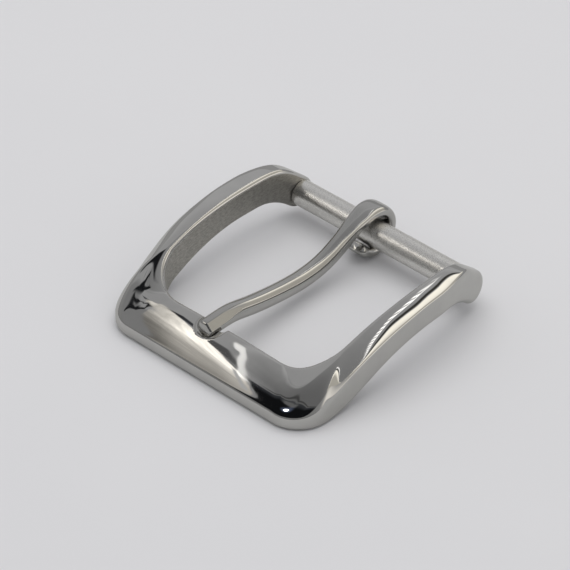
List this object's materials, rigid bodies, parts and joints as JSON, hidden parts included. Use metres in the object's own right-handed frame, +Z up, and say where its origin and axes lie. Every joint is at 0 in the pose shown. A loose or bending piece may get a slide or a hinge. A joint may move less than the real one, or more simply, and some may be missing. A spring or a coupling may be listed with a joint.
{
  "type": "heel bar belt buckle",
  "caption": "Arched cast metal belt buckle with a rounded square frame, a straight round heel bar and a curved prong that hooks round the bar and rests in a seat in the front bar.",
  "frame": {"origin": "centre of the whole buckle in plan, on the plane of the front bar's flat underside", "axes": "+X along the heel bar towards the right arm, +Y from the front bar to the heel bar, +Z up, away from the flat underside"},
  "size_m": [0.0502, 0.0522, 0.0129],
  "materials": {
    "polished_steel": "mirror polished stainless steel, inner walls left satin",
    "satin_steel": "satin stainless steel rod"
  },
  "bodies": {
    "frame": {"frame": "polished_steel", "heel_bar": "satin_steel"},
    "prong": {"prong": "polished_steel"}
  },
  "joints": [
    {"name": "prong_pivot", "type": "hinge", "parent": "frame", "child": "prong", "pos_m": [-0.00295, 0.02105, 0.00505], "axis": [-1, 0, 0], "range_deg": [0, 346]}
  ]
}
